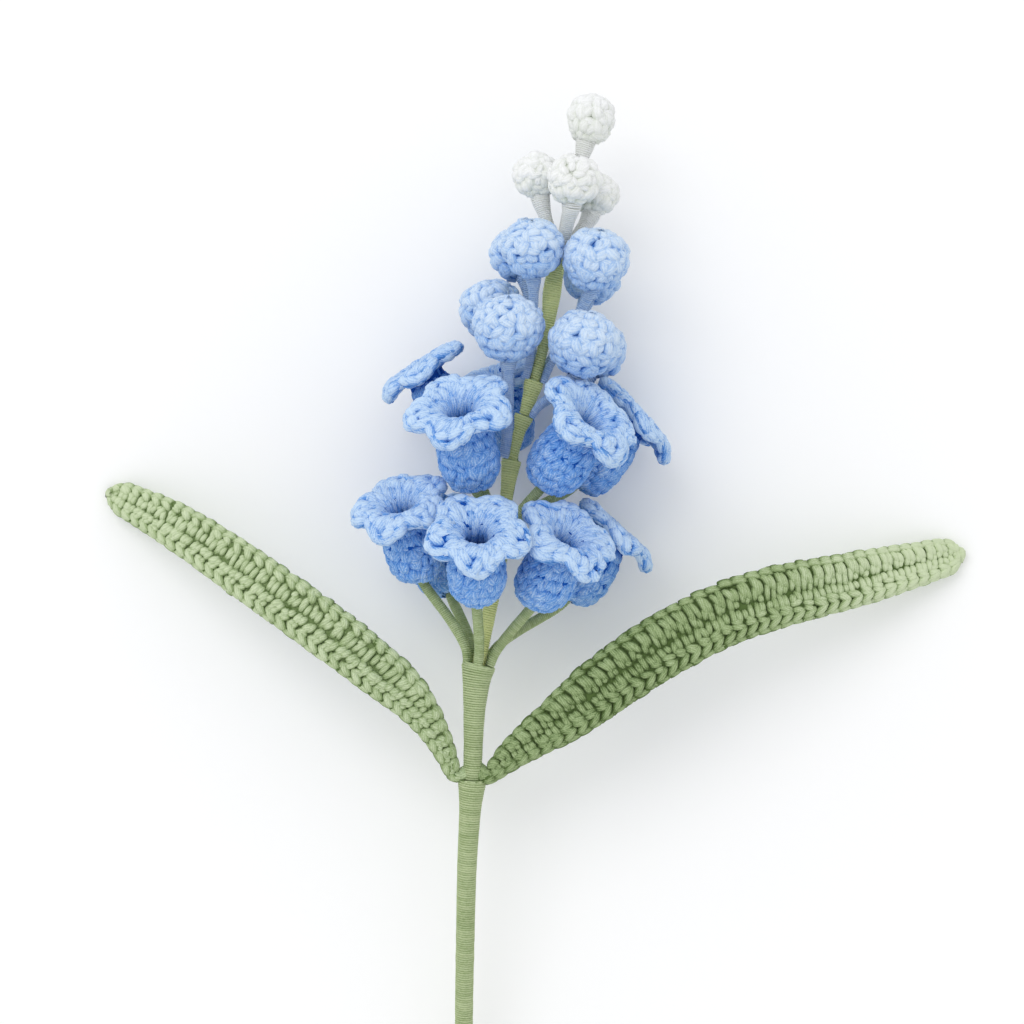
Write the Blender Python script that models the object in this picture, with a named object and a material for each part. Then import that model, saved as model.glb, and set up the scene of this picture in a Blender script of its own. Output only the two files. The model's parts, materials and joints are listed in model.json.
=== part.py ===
"""A crocheted grape hyacinth lying on its back: yarn bells and buds on wrapped wires, with two crocheted leaves.

The stalk runs along +Y, the front of the flower faces +Z and the table is at the lowest Z.
Lengths are in millimetres until MM turns them into metres. Heights "up the stalk" are measured along Y from the
joint where the leaves leave it, and depths along Z from the middle of the flower spike.
"""

import math

import bmesh
import bpy
from mathutils import Matrix, Vector

MM = 0.001
GAP = 0.3                  # clearance that touching pieces keep

# ---- the stalk -------------------------------------------------------------------------------------------------
TABLE_DEPTH = 28.0         # the spike's middle stands this far above the table on its back flowers
CUT_END = -160.0           # height of the cut end of the stalk
LEVEL_FROM = 30.0          # above this height the stalk runs level with the table
STALK_ROUTE = [            # the stalk's middle seen from the front: sideways place, height
    (-2.6, -165.0), (-2.5, -110.0), (-2.2, -61.0), (-1.2, -17.0), (0.0, 0.0), (0.7, 20.0), (1.7, 29.0),
    (4.6, 42.0), (7.6, 62.0), (9.9, 80.0), (14.5, 96.0), (18.2, 110.0), (20.0, 122.0), (21.6, 131.0), (24.0, 142.0),
]
WIRE_RADIUS = 0.8
WIRE_BARE_TIP = 1.0        # bare wire past the wrap at the cut end
STEM_SIDES = 12
SPIKE_SIDES = 10
WIRE_SIDES = 6
WRAP_STEP = 25.0           # longest spacing of the rings along a wrap

# Each wrap: name, sides, and its outline as height and radius from its lower end to its upper end.
WRAPS = [
    ("stalk_wrap_lower", STEM_SIDES,
     [(CUT_END, 2.1), (CUT_END + 1.5, 2.3), (-61.0, 2.25), (-22.0, 2.45), (-8.0, 2.75), (-1.0, 3.6), (0.0, 3.4)]),
    ("stalk_wrap_upper", STEM_SIDES,
     [(GAP, 2.3), (8.0, 2.4), (18.0, 2.8), (25.0, 3.6), (28.2, 4.3), (28.9, 4.1)]),
    ("spike_wrap_low", SPIKE_SIDES,
     [(28.9 + GAP, 1.7), (36.0, 1.7), (50.0, 2.0), (57.0, 3.0), (61.4, 4.0), (62.0, 3.8)]),
    ("spike_wrap_middle", SPIKE_SIDES,
     [(62.0 + GAP, 1.4), (66.0, 1.7), (73.0, 1.9), (79.2, 3.4), (80.0, 3.2)]),
    ("spike_wrap_high", SPIKE_SIDES,
     [(80.0 + GAP, 1.4), (84.0, 1.6), (87.5, 1.7), (90.2, 3.3), (91.0, 3.2)]),
    ("spike_wrap_collar", SPIKE_SIDES,
     [(91.0 + GAP, 1.4), (94.0, 1.9), (98.8, 3.3), (99.6, 3.1)]),
    ("spike_wrap_top", SPIKE_SIDES,
     [(99.6 + GAP, 1.35), (106.0, 1.4), (112.0, 1.7), (117.0, 2.4), (122.0, 3.2), (127.5, 2.7), (130.0, 2.35)]),
]

# ---- the bells -------------------------------------------------------------------------------------------------
PETALS = 5
BELL_SIDES = 5 * PETALS
BELL_WALL = 2.4
WIRE_HOLE = 1.6            # radius of the ring that the wrapped wire passes through
BELL_OUTLINE = [           # the outside of the cup: radius, height
    (3.2, 0.0), (6.4, 1.6), (8.2, 6.5), (7.9, 12.5), (6.3, 19.0),
]
CAVITY_OUTLINE = [         # the inside of the cup, from the throat down
    (3.6, 19.0), (5.3, 12.5), (5.5, 6.0), (3.0, 3.2),
]
THROAT_HEIGHT = 20.0
THROAT_RADIUS = 4.9        # middle of the wall where the petals start
PETAL_LENGTH = 8.6
NOTCH_LENGTH = 3.6
PETAL_PUFF = 4.0           # thickness that a petal swells to from the wall's
PETAL_ROUNDNESS = 0.4      # lower makes squarer petals
OUTER_RISE, INNER_RISE = math.radians(58), math.radians(74)   # how steeply a petal leaves the throat
OUTER_CURL, INNER_CURL = 3.9, 5.2                             # radius of a petal's curl
PEDICEL_ENTRY = 4.2        # how far a bell's wire reaches inside

# ---- the buds --------------------------------------------------------------------------------------------------
BUD_SIDES = 12
BUD_OUTLINE = [            # radius as a share of the half-width, height as a share of the height
    (0.34, 0.0), (0.74, 0.16), (0.99, 0.45), (0.92, 0.72), (0.56, 0.93), (0.16, 1.0),
]
SOCKET_DEPTH = 4.0

# ---- the flowers -----------------------------------------------------------------------------------------------
# Each bell: name, size, wire's height on the stalk, wire's angle round it, foot of the bell (side, height, depth),
# and how far its mouth leans sideways and forwards for each unit that it rises.
BELLS = [
    ("bell_low_left", 0.96, 28.9, 165, (-12.7, 50.4, -1.0), (-0.26, 0.56)),
    ("bell_low_front", 0.97, 28.9, 93, (1.2, 45.6, 11.4), (0.03, 0.84)),
    ("bell_low_right", 0.98, 28.9, 21, (15.2, 43.9, 4.0), (0.50, 0.64)),
    ("bell_low_far_right", 0.96, 28.9, -51, (23.5, 44.6, -9.6), (0.72, 0.05)),
    ("bell_low_back", 0.96, 28.9, -123, (-5.5, 45.5, -11.1), (-0.35, -0.28)),
    ("bell_high_front_left", 1.02, 62.0, 120, (0.7, 73.2, 6.5), (-0.18, 0.62)),
    ("bell_high_left", 0.93, 62.0, 192, (-3.2, 84.6, -7.0), (-0.50, 0.12)),
    ("bell_high_back", 0.90, 62.0, 264, (10.2, 82.0, -19.0), (-0.16, 0.15)),
    ("bell_high_front_right", 1.03, 62.0, 48, (17.6, 73.4, 5.8), (0.70, 0.66)),
    ("bell_high_right", 1.05, 62.0, -24, (25.5, 73.4, -10.6), (0.86, -0.02)),
]
# Each bud: name, yarn, half-width, height as a share of the half-width, wire's height on the stalk, wire's angle,
# foot of the bud, and the same leans.
BUDS = [
    ("bud_low_front_left", "pale_blue_yarn", 9.0, 1.75, 80.0, 135, (9.2, 104.9, 8.6), (0.0, 0.30)),
    ("bud_low_back_left", "pale_blue_yarn", 8.2, 1.75, 80.0, 195, (7.0, 111.7, -5.6), (-0.35, -0.20)),
    ("bud_low_front_right", "pale_blue_yarn", 9.0, 1.75, 91.0, 35, (25.9, 101.2, 9.9), (0.24, 0.30)),
    ("bud_low_back_right", "pale_blue_yarn", 8.0, 1.75, 91.0, -45, (29.7, 101.7, -9.9), (0.24, -0.10)),
    ("bud_high_front_left", "pale_blue_yarn", 8.0, 1.75, 99.6, 160, (15.3, 125.8, 6.2), (-0.04, 0.38)),
    ("bud_high_back_left", "pale_blue_yarn", 7.2, 1.75, 99.6, 230, (13.0, 126.6, -7.4), (-0.30, -0.25)),
    ("bud_high_front_right", "pale_blue_yarn", 8.5, 1.75, 99.6, 15, (29.5, 122.9, 6.0), (0.18, 0.46)),
    ("bud_high_back_right", "pale_blue_yarn", 7.6, 1.75, 99.6, -50, (28.8, 120.6, -9.2), (0.25, -0.15)),
    ("bud_tip_left", "white_yarn", 6.1, 1.8, 130.0, 165, (17.0, 146.0, -1.5), (-0.15, 0.0)),
    ("bud_tip_front", "white_yarn", 6.9, 1.75, 130.0, 75, (24.8, 143.4, 7.0), (0.08, 0.22)),
    ("bud_tip_right", "white_yarn", 6.0, 1.75, 130.0, -15, (30.0, 142.3, -5.4), (0.22, -0.1)),
    ("bud_tip_top", "white_yarn", 6.2, 1.98, 130.0, None, (28.4, 159.4, 0.0), (0.22, 0.0)),
]
PEDICEL_SIDES = 7
PEDICEL_RINGS = 7
LEAVING_PULL, ARRIVING_PULL = 0.26, 0.17   # how far a wire keeps its first and its last direction
PEDICEL_SWELL = 3.0        # a wrapped wire reaches its full radius this many times sooner than its end
PEDICEL_RADII = {          # a wrapped wire's radius at the stalk and at its flower
    "bell_blue_yarn": (1.05, 1.2), "pale_blue_yarn": (0.8, 1.1), "white_yarn": (0.75, 1.5),
}

# ---- the leaves ------------------------------------------------------------------------------------------------
LEAF_SECTIONS = 22
LEAF_THICKNESS = 2.6
LEAF_FOLD = 0.10           # rise of the edges above the midrib, as a share of the distance to it
LEAF_OUTLINE = [           # share of the way to the tip, share of the widest half-width
    (0.0, 0.26), (0.06, 0.32), (0.12, 0.39), (0.19, 0.5), (0.26, 0.64), (0.33, 0.8), (0.4, 0.92), (0.53, 1.0),
    (0.72, 0.97), (0.86, 0.82), (0.93, 0.66), (1.0, 0.55),
]
TIP_ROUNDING = 0.05        # share of the leaf over which its tip rounds off
# Each leaf: name, widest width, route of the midrib (side, height, depth), and the blade's roll at foot, middle, tip.
LEAVES = [
    ("leaf_left", 13.6,
     [(-4.6, 1.3, -1.5), (-8.4, 10.5, 0.5), (-16.0, 21.5, 2.5), (-31.0, 33.9, 3.0), (-51.0, 47.9, -2.5),
      (-74.5, 62.8, -14.0), (-93.8, 71.9, -26.8)], (20, -8, 0)),
    ("leaf_right", 16.0,
     [(4.8, 1.2, -1.5), (10.5, 6.9, 0.5), (23.5, 16.6, 2.5), (44.2, 31.9, 3.0), (68.0, 43.4, -1.5),
      (97.5, 49.9, -13.5), (126.3, 56.3, -26.8)], (-20, 8, 0)),
]

# ---- colours ---------------------------------------------------------------------------------------------------
MATERIALS = {              # colour, roughness, metallic
    "stalk_yarn": ((0.36, 0.45, 0.20), 0.9, 0.0),
    "leaf_yarn": ((0.38, 0.48, 0.23), 0.9, 0.0),
    "bell_blue_yarn": ((0.20, 0.40, 0.80), 0.9, 0.0),
    "pale_blue_yarn": ((0.42, 0.62, 0.90), 0.9, 0.0),
    "white_yarn": ((0.86, 0.88, 0.88), 0.9, 0.0),
    "steel_wire": ((0.45, 0.45, 0.46), 0.4, 1.0),
}


def clear_scene():
    for obj in list(bpy.data.objects):
        bpy.data.objects.remove(obj)


def make_material(name):
    colour, roughness, metallic = MATERIALS[name]
    material = bpy.data.materials.new(name)
    material.use_nodes = True
    shader = material.node_tree.nodes["Principled BSDF"]
    shader.inputs["Base Color"].default_value = (*colour, 1.0)
    shader.inputs["Roughness"].default_value = roughness
    shader.inputs["Metallic"].default_value = metallic
    return material


def smooth_step(low, high, value):
    """Rises from 0 at low to 1 at high, level at both ends."""
    share = min(1.0, max(0.0, (value - low) / (high - low)))
    return share * share * (3 - 2 * share)


def along(points, share):
    """The point at a share of the way along a smooth curve through the points, counted by points."""
    last = len(points) - 1
    place = min(max(share, 0.0), 1.0) * last
    first = min(int(place), last - 1)
    part = place - first
    before, start, end, after = (Vector(points[min(max(first + k, 0), last)]) for k in (-1, 0, 1, 2))
    return 0.5 * (
        2 * start + (end - before) * part + (2 * before - 5 * start + 4 * end - after) * part**2
        + (3 * start - before - 3 * end + after) * part**3
    )


def stalk_point(height):
    """The stalk's middle at a height, level with the table above LEVEL_FROM and resting on it at the cut end."""
    heights = [y for _, y in STALK_ROUTE]
    first = max(i for i in range(len(heights) - 1) if heights[i] <= height)
    share = (first + (height - heights[first]) / (heights[first + 1] - heights[first])) / (len(heights) - 1)
    rise = smooth_step(CUT_END, LEVEL_FROM, height)
    lowest = -TABLE_DEPTH + WRAPS[0][2][1][1]
    return Vector((along(STALK_ROUTE, share)[0], height, lowest * (1 - rise)))


def stalk_direction(height):
    return (stalk_point(height + 1) - stalk_point(height - 1)).normalized()


def ring(centre, axis, radius, sides, towards=Vector((0, 0, 1))):
    """Corners of a regular polygon round an axis, the first in the direction of towards."""
    first = (towards - towards.dot(axis) * axis).normalized()
    second = axis.cross(first)
    turns = [2 * math.pi * i / sides for i in range(sides)]
    return [centre + radius * (math.cos(a) * first + math.sin(a) * second) for a in turns]


def loft(name, rings, material, closed_loop=False, place=None):
    """An object whose skin joins each ring to the next. It has flat ends, or joins its last ring to its first."""
    bm = bmesh.new()
    loops = [[bm.verts.new(Vector(p) * MM) for p in points] for points in rings]
    pairs = list(zip(loops, loops[1:]))
    if closed_loop:
        pairs.append((loops[-1], loops[0]))
    else:
        bm.faces.new(loops[0])
        bm.faces.new(loops[-1])
    for low, high in pairs:
        for i in range(len(low)):
            j = (i + 1) % len(low)
            bm.faces.new((low[i], low[j], high[j], high[i]))
    bmesh.ops.recalc_face_normals(bm, faces=bm.faces)
    mesh = bpy.data.meshes.new(name)
    bm.to_mesh(mesh)
    bm.free()
    mesh.shade_smooth()
    mesh.set_sharp_from_angle(angle=math.radians(50))
    mesh.materials.append(material)
    obj = bpy.data.objects.new(name, mesh)
    if place is not None:
        obj.matrix_world = place
    bpy.context.scene.collection.objects.link(obj)
    return obj


def heights_between(outline):
    """The outline's heights and radii, with more rings put into its long stretches."""
    stations = [outline[0]]
    for (low, low_radius), (high, high_radius) in zip(outline, outline[1:]):
        steps = max(1, math.ceil((high - low) / WRAP_STEP))
        for i in range(1, steps + 1):
            share = i / steps
            stations.append((low + share * (high - low), low_radius + share * (high_radius - low_radius)))
    return stations


def make_wrap(name, sides, outline, material):
    """A length of the stalk's yarn winding: a tube round the wire."""
    stations = heights_between(outline)
    outside = [ring(stalk_point(y), stalk_direction(y), radius, sides) for y, radius in stations]
    inside = [ring(stalk_point(y), stalk_direction(y), WIRE_RADIUS + GAP, sides) for y, _ in reversed(stations)]
    loft(name, outside + inside, material, closed_loop=True)


def make_stalk(materials):
    for name, sides, outline in WRAPS:
        make_wrap(name, sides, outline, materials["stalk_yarn"])
    heights = sorted({y for _, _, outline in WRAPS for y, _ in heights_between(outline)})
    heights[0] -= WIRE_BARE_TIP
    wire = [ring(stalk_point(y), stalk_direction(y), WIRE_RADIUS, WIRE_SIDES) for y in heights]
    loft("stalk_wire", wire, materials["steel_wire"])


def flower_axis(leans):
    return Vector((leans[0], 1.0, leans[1])).normalized()


def flower_place(foot, leans):
    """The frame of a flower: Z along its axis and X towards its outer side, where the petals hang most."""
    axis = flower_axis(leans)
    hanging = Vector((0, -1, 0))
    outer = (hanging - hanging.dot(axis) * axis).normalized()
    turn = Matrix((outer, axis.cross(outer), axis)).transposed().to_4x4()
    return Matrix.Translation(Vector(foot) * MM) @ turn


def petal_point(angle, share, side):
    """A point of the petal skirt: share 0 at the throat and 1 at the rim, side 1 inside and -1 outside."""
    outward = 0.5 + 0.5 * math.cos(angle)
    lobe = (0.5 + 0.5 * math.cos(PETALS * angle)) ** PETAL_ROUNDNESS
    length = (NOTCH_LENGTH + (PETAL_LENGTH - NOTCH_LENGTH) * lobe) * share
    rise = INNER_RISE + (OUTER_RISE - INNER_RISE) * outward
    curl = INNER_CURL + (OUTER_CURL - INNER_CURL) * outward
    heading = rise - length / curl
    radius = THROAT_RADIUS + curl * (math.sin(rise) - math.sin(heading))
    height = THROAT_HEIGHT + curl * (math.cos(heading) - math.cos(rise))
    half = (BELL_WALL + (PETAL_PUFF - BELL_WALL) * smooth_step(0.0, 0.8, share)) / 2
    radius -= side * half * math.sin(heading)
    height += side * half * math.cos(heading)
    if side == 0:
        radius += half * math.cos(heading)
        height += half * math.sin(heading)
    return Vector((radius * math.cos(angle), radius * math.sin(angle), height))


def bell_rings():
    angles = [2 * math.pi * i / BELL_SIDES for i in range(BELL_SIDES)]

    def level(radius, height):
        return [Vector((radius * math.cos(a), radius * math.sin(a), height)) for a in angles]

    def skirt(share, side):
        return [petal_point(a, share, side) for a in angles]

    cup = [level(r, z) for r, z in BELL_OUTLINE]
    petals = [skirt(0.45, -1), skirt(0.9, -1), skirt(1.0, 0), skirt(0.9, 1), skirt(0.4, 1)]
    cavity = [level(r, z) for r, z in CAVITY_OUTLINE]
    return [level(WIRE_HOLE, 0.3)] + cup + petals + cavity + [level(WIRE_HOLE, 2.9)]


def make_bells(materials):
    rings = bell_rings()
    for name, size, height, angle, foot, leans in BELLS:
        place = flower_place(foot, leans) @ Matrix.Scale(size, 4)
        loft(name, rings, materials["bell_blue_yarn"], closed_loop=True, place=place)
        make_pedicel(name, height, angle, foot, leans, "bell_blue_yarn", materials["stalk_yarn"], PEDICEL_ENTRY)


def bud_rings(half_width, height):
    up = Vector((0, 0, 1))
    socket = PEDICEL_RADII["white_yarn"][1] + GAP
    inside = [ring(up * SOCKET_DEPTH, up, socket, BUD_SIDES, Vector((1, 0, 0))),
              ring(up * 0.0, up, socket, BUD_SIDES, Vector((1, 0, 0)))]
    return inside + [
        ring(up * z * height, up, r * half_width, BUD_SIDES, Vector((1, 0, 0))) for r, z in BUD_OUTLINE
    ]


def make_buds(materials):
    for name, yarn, half_width, tallness, height, angle, foot, leans in BUDS:
        rings = bud_rings(half_width, half_width * tallness)
        loft(name, rings, materials[yarn], place=flower_place(foot, leans))
        make_pedicel(name, height, angle, foot, leans, yarn, materials[yarn], SOCKET_DEPTH - GAP)


def make_pedicel(flower, height, angle, foot, leans, yarn, material, entry):
    """The wrapped wire of one flower: it leaves the stalk along it and enters the flower along the flower's axis."""
    root_radius, tip_radius = PEDICEL_RADII[yarn]
    stalk = stalk_direction(height)
    start = stalk_point(height) + stalk * GAP
    if angle is not None:
        below = next(outline for _, _, outline in WRAPS if outline[-1][0] == height)
        reach = below[-1][1] - root_radius
        side = Vector((math.cos(math.radians(angle)), 0, math.sin(math.radians(angle))))
        start += (side - side.dot(stalk) * stalk).normalized() * reach
    end = Vector(foot)
    axis = flower_axis(leans)
    span = (end - start).length
    bends = [start, start + stalk * span * LEAVING_PULL, end - axis * span * ARRIVING_PULL, end]
    rings = []
    for i in range(PEDICEL_RINGS):
        t = i / (PEDICEL_RINGS - 1)
        weights = ((1 - t) ** 3, 3 * t * (1 - t) ** 2, 3 * t * t * (1 - t), t**3)
        centre = sum((w * p for w, p in zip(weights, bends)), Vector())
        slopes = (-((1 - t) ** 2), (1 - t) ** 2 - 2 * t * (1 - t), 2 * t * (1 - t) - t * t, t * t)
        heading = sum((w * p for w, p in zip(slopes, bends)), Vector()).normalized()
        radius = root_radius + (tip_radius - root_radius) * min(1.0, t * PEDICEL_SWELL)
        rings.append(ring(centre, heading, radius, PEDICEL_SIDES))
    rings.append(ring(end + axis * entry, axis, tip_radius, PEDICEL_SIDES))
    loft(flower.replace("bell", "bell_stem").replace("bud", "bud_stem"), rings, material)


def leaf_half_width(widest, share):
    """Half the blade's width: a narrow foot, a long even blade and a round tip."""
    first = max(k for k in range(len(LEAF_OUTLINE) - 1) if LEAF_OUTLINE[k][0] <= share)
    (low, low_width), (high, high_width) = LEAF_OUTLINE[first:first + 2]
    blade = widest / 2 * (low_width + (high_width - low_width) * (share - low) / (high - low))
    to_tip = max(0.0, (share - 1 + TIP_ROUNDING) / TIP_ROUNDING)
    return max(0.8, blade * math.sqrt(max(0.0, 1 - to_tip * to_tip)))


def leaf_section(centre, across, up, half_width):
    """A blade cut across: a flat lens, thicker at its chained edges and folded a little along the midrib."""
    half = LEAF_THICKNESS / 2
    edge = max(half_width - half, half_width * 0.6)
    outline = [(-half_width, 0.0), (-edge, half), (0.0, half * 0.85), (edge, half),
               (half_width, 0.0), (edge, -half), (0.0, -half * 0.85), (-edge, -half)]
    return [centre + across * x + up * (z + LEAF_FOLD * abs(x)) for x, z in outline]


def make_leaf(name, widest, route, rolls, material):
    sections = []
    for i in range(LEAF_SECTIONS):
        share = math.sin(math.pi / 2 * i / (LEAF_SECTIONS - 1)) ** 1.1
        centre = along(route, share)
        heading = (along(route, share + 0.01) - along(route, share - 0.01)).normalized()
        roll = rolls[0] + (rolls[1] - rolls[0]) * smooth_step(0, 0.3, share) + (
            rolls[2] - rolls[1]) * smooth_step(0.5, 1, share)
        across = heading.cross(Vector((0, 0, 1))).normalized()
        across = Matrix.Rotation(math.radians(roll), 3, heading) @ across
        sections.append(leaf_section(centre, across, across.cross(heading), leaf_half_width(widest, share)))
    loft(name, sections, material)


def settle_origin():
    """Moves everything so that the origin is under the middle of the object, on the table."""
    bpy.context.view_layer.update()
    corners = [obj.matrix_world @ v.co for obj in bpy.data.objects for v in obj.data.vertices]
    low = Vector(min(c[i] for c in corners) for i in range(3))
    high = Vector(max(c[i] for c in corners) for i in range(3))
    shift = Matrix.Translation(-Vector(((low.x + high.x) / 2, (low.y + high.y) / 2, low.z)))
    for obj in bpy.data.objects:
        obj.matrix_world = shift @ obj.matrix_world


def main():
    clear_scene()
    materials = {name: make_material(name) for name in MATERIALS}
    make_stalk(materials)
    make_bells(materials)
    make_buds(materials)
    for name, widest, route, rolls in LEAVES:
        make_leaf(name, widest, route, rolls, materials["leaf_yarn"])
    settle_origin()


main()
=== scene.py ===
# %% [markdown]
# # A crocheted grape hyacinth
#
# A stem of yarn flowers lies on its back on a pale table: open blue bells below, round buds above, and two
# long leaves. Only yarn shows on the real one, apart from the cut end of a wire, so almost everything here is
# short plump strands laid side by side on a hidden backing, the way stitches lie on a crocheted cloth.
#
# The plain solids come from the frame. They say where each piece is, and each one is dressed here.

import json
import math

import bpy
import numpy as np
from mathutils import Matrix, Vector


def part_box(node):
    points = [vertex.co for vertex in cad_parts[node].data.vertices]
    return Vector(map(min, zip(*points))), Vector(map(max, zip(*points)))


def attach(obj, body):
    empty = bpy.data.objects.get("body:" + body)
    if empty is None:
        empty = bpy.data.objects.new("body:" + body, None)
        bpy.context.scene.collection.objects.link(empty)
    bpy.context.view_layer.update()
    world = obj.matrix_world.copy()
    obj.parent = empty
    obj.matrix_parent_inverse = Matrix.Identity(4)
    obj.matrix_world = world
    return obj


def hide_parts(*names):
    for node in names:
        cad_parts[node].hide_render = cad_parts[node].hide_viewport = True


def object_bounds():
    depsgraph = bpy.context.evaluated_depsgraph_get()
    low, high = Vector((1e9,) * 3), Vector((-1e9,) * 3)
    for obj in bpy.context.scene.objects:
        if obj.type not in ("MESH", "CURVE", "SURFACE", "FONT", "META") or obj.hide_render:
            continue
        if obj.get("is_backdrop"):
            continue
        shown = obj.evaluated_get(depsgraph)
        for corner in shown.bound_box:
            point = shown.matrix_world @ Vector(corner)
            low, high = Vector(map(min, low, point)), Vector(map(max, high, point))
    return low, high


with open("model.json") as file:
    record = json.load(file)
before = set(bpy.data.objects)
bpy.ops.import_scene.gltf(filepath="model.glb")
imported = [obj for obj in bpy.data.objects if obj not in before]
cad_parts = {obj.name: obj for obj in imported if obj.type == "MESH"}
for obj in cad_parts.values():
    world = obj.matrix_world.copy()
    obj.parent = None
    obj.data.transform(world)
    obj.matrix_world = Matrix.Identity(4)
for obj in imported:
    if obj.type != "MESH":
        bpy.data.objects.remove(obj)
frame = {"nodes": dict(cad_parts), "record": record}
plain_low, plain_high = (np.array(corner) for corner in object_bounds())
MM = 0.001
print("The plain flower measures, in mm:", np.round((plain_high - plain_low) / MM, 1))

# %% [markdown]
# ## Reading the solids
#
# Each wire, leaf and winding is a tube of rings with a flat end. Starting from the ring round that end, the
# next ring is made of the corners that share a face with it, and so on to the other end. That gives the line
# down the middle of the tube with no points typed in.

# %% Corners and faces of a solid
SAME_CORNER = 1e-6


def corners_and_faces(node):
    """The node's corners as points in space, and its faces as lists of corners."""
    solid = frame["nodes"][node]
    points = np.array([solid.matrix_world @ corner.co for corner in solid.data.vertices])
    steps = np.round(points / SAME_CORNER).astype(np.int64)
    places, same = np.unique(steps, axis=0, return_inverse=True)
    same = same.reshape(-1)
    faces = [[int(same[i]) for i in face.vertices] for face in solid.data.polygons]
    return places * SAME_CORNER, [face for face in faces if len(set(face)) == len(face)]


def middle_of(node):
    low, high = (np.array(corner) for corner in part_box(node))
    return (low + high) / 2


def unit(vectors):
    return vectors / np.maximum(np.linalg.norm(vectors, axis=-1, keepdims=True), 1e-12)


# %% Rings of a solid
SAME_FACING, SAME_PLANE = 0.9999, 0.01 * MM


def rings_from(node, near, corners):
    """The rings of corners of a tube, from its flat end that is nearest to a point to its other end."""
    points, faces = corners_and_faces(node)
    joined, flats = [set() for _ in points], []
    for face in faces:
        first, second, third = points[face[:3]]
        facing = unit(np.cross(second - first, third - first))
        for corner in face:
            joined[corner] |= set(face)
        for flat_facing, start, flat in flats:
            if flat_facing @ facing > SAME_FACING and abs((first - start) @ facing) < SAME_PLANE:
                flat |= set(face)
                break
        else:
            flats.append((facing, first, set(face)))
    ends = [flat for *_, flat in flats if len(flat) == corners]
    front = min(ends, key=lambda flat: np.linalg.norm(points[sorted(flat)].mean(axis=0) - near))
    seen, rings = set(front), []
    while front:
        rings.append(points[sorted(front)])
        front = {other for corner in front for other in joined[corner]} - seen
        seen |= front
    return rings


# %% A smooth line through points
def smooth_line(points, shares):
    """Points on a smooth curve through the given points, at shares from 0 to 1 counted by the points."""
    points = np.asarray(points, float)
    places = np.clip(np.asarray(shares, float), 0, 1) * (len(points) - 1)
    first = np.minimum(places.astype(int), len(points) - 2)
    part = (places - first)[..., None]
    before, start, end, after = (points[np.clip(first + k, 0, len(points) - 1)] for k in (-1, 0, 1, 2))
    return 0.5 * (
        2 * start + (end - before) * part + (2 * before - 5 * start + 4 * end - after) * part**2
        + (3 * start - before - 3 * end + after) * part**3
    )


def way_along(points):
    """How far each point is along the line through all of them."""
    return np.concatenate([[0], np.cumsum(np.linalg.norm(np.diff(points, axis=0), axis=1))])


# %% [markdown]
# ## Shader sums in plain Python
#
# A finish for yarn needs some arithmetic on what the shader knows at each point. Wrapping a socket in a small
# class with its own plus, minus and times lets that arithmetic be written as in any other program.


# %% Values in a shader
class Amount:
    """A number somewhere in a shader. Arithmetic on it adds Math nodes."""

    def __init__(self, finish, socket):
        self.finish, self.socket = finish, socket

    def math(self, operation, *values):
        node = self.finish.node("ShaderNodeMath", {"operation": operation}, dict(enumerate(values)))
        return node("Value")

    def __add__(self, other):
        return self.math("ADD", self, other)

    def __radd__(self, other):
        return self.math("ADD", other, self)

    def __sub__(self, other):
        return self.math("SUBTRACT", self, other)

    def __rsub__(self, other):
        return self.math("SUBTRACT", other, self)

    def __mul__(self, other):
        return self.math("MULTIPLY", self, other)

    def __rmul__(self, other):
        return self.math("MULTIPLY", other, self)

    def sine(self):
        return self.math("SINE", self)

    def between(self, low, high):
        """0 at low, 1 at high, and eased in between."""
        settings = {"interpolation_type": "SMOOTHSTEP", "clamp": True}
        return self.finish.node("ShaderNodeMapRange", settings, {"Value": self, 1: low, 2: high})("Result")


# %% A material in the making
class Finish:
    """A material in the making, with one method that adds any node."""

    def __init__(self, name, **constants):
        self.material = bpy.data.materials.new(name)
        self.material.use_nodes = True
        self.tree = self.material.node_tree
        self.surface = self.tree.nodes["Principled BSDF"]
        for socket, value in constants.items():
            self.surface.inputs[socket.replace("_", " ")].default_value = value

    def node(self, kind, settings=None, inputs=None):
        """Adds a node with its settings, values and links, and returns a way to read its outputs."""
        made = self.tree.nodes.new(kind)
        for name, value in (settings or {}).items():
            setattr(made, name, value)
        for name, value in (inputs or {}).items():
            socket = made.inputs[name]
            if isinstance(value, Amount):
                self.tree.links.new(value.socket, socket)
            else:
                socket.default_value = value
        return lambda output: Amount(self, made.outputs[output])

    def blend(self, share, first, second):
        """A colour that goes from the first to the second as share goes from 0 to 1.

        A colour Mix node has its factor at socket 0, its colours at 6 and 7, and its result at 2."""
        return self.node("ShaderNodeMix", {"data_type": "RGBA"}, {0: share, 6: first, 7: second})(2)

    def noise(self, scale, detail=2.0):
        where = self.node("ShaderNodeTexCoord")("Object")
        values = {"Vector": where, "Scale": scale, "Detail": detail}
        return self.node("ShaderNodeTexNoise", {}, values)("Fac")

    def feed(self, socket, value):
        self.tree.links.new(value.socket, self.surface.inputs[socket])


def srgb(red, green, blue):
    """A colour given as 0 to 255 on screen, as the shader's linear colour."""
    shares = [value / 255 for value in (red, green, blue)]
    linear = [share / 12.92 if share <= 0.04045 else ((share + 0.055) / 1.055) ** 2.4 for share in shares]
    return (*linear, 1.0)
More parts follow.
